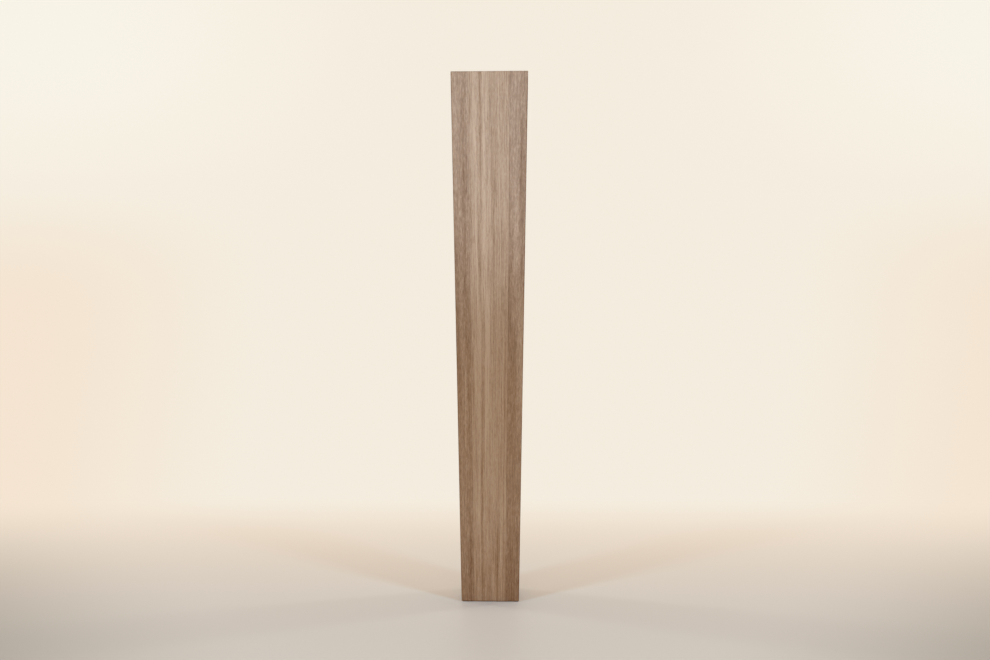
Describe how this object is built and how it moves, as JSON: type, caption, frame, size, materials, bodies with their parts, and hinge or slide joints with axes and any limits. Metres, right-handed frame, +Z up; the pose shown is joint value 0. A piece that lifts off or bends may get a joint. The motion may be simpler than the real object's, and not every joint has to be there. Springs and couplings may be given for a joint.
{
  "type": "table leg",
  "caption": "Tall square table leg with an even taper, glued up from full-depth hardwood staves, with a bolting face at its top end.",
  "frame": {"origin": "middle of the foot's face, on the floor", "axes": "+Z up along the leg's axis to its top end, -Y out of the face that shows all the staves"},
  "size_m": [0.105, 0.105, 0.72],
  "materials": {
    "side_stave_wood": "matt oiled grey-brown hardwood, fine dark pores",
    "centre_stave_wood": "matt oiled grey-brown hardwood, paler, with long light streaks",
    "insert_metal": "bright zinc plate, slightly dulled"
  },
  "bodies": {
    "root": {"left_stave": "side_stave_wood", "centre_stave": "centre_stave_wood", "right_stave": "side_stave_wood", "threaded_inserts": "insert_metal"}
  },
  "joints": []
}
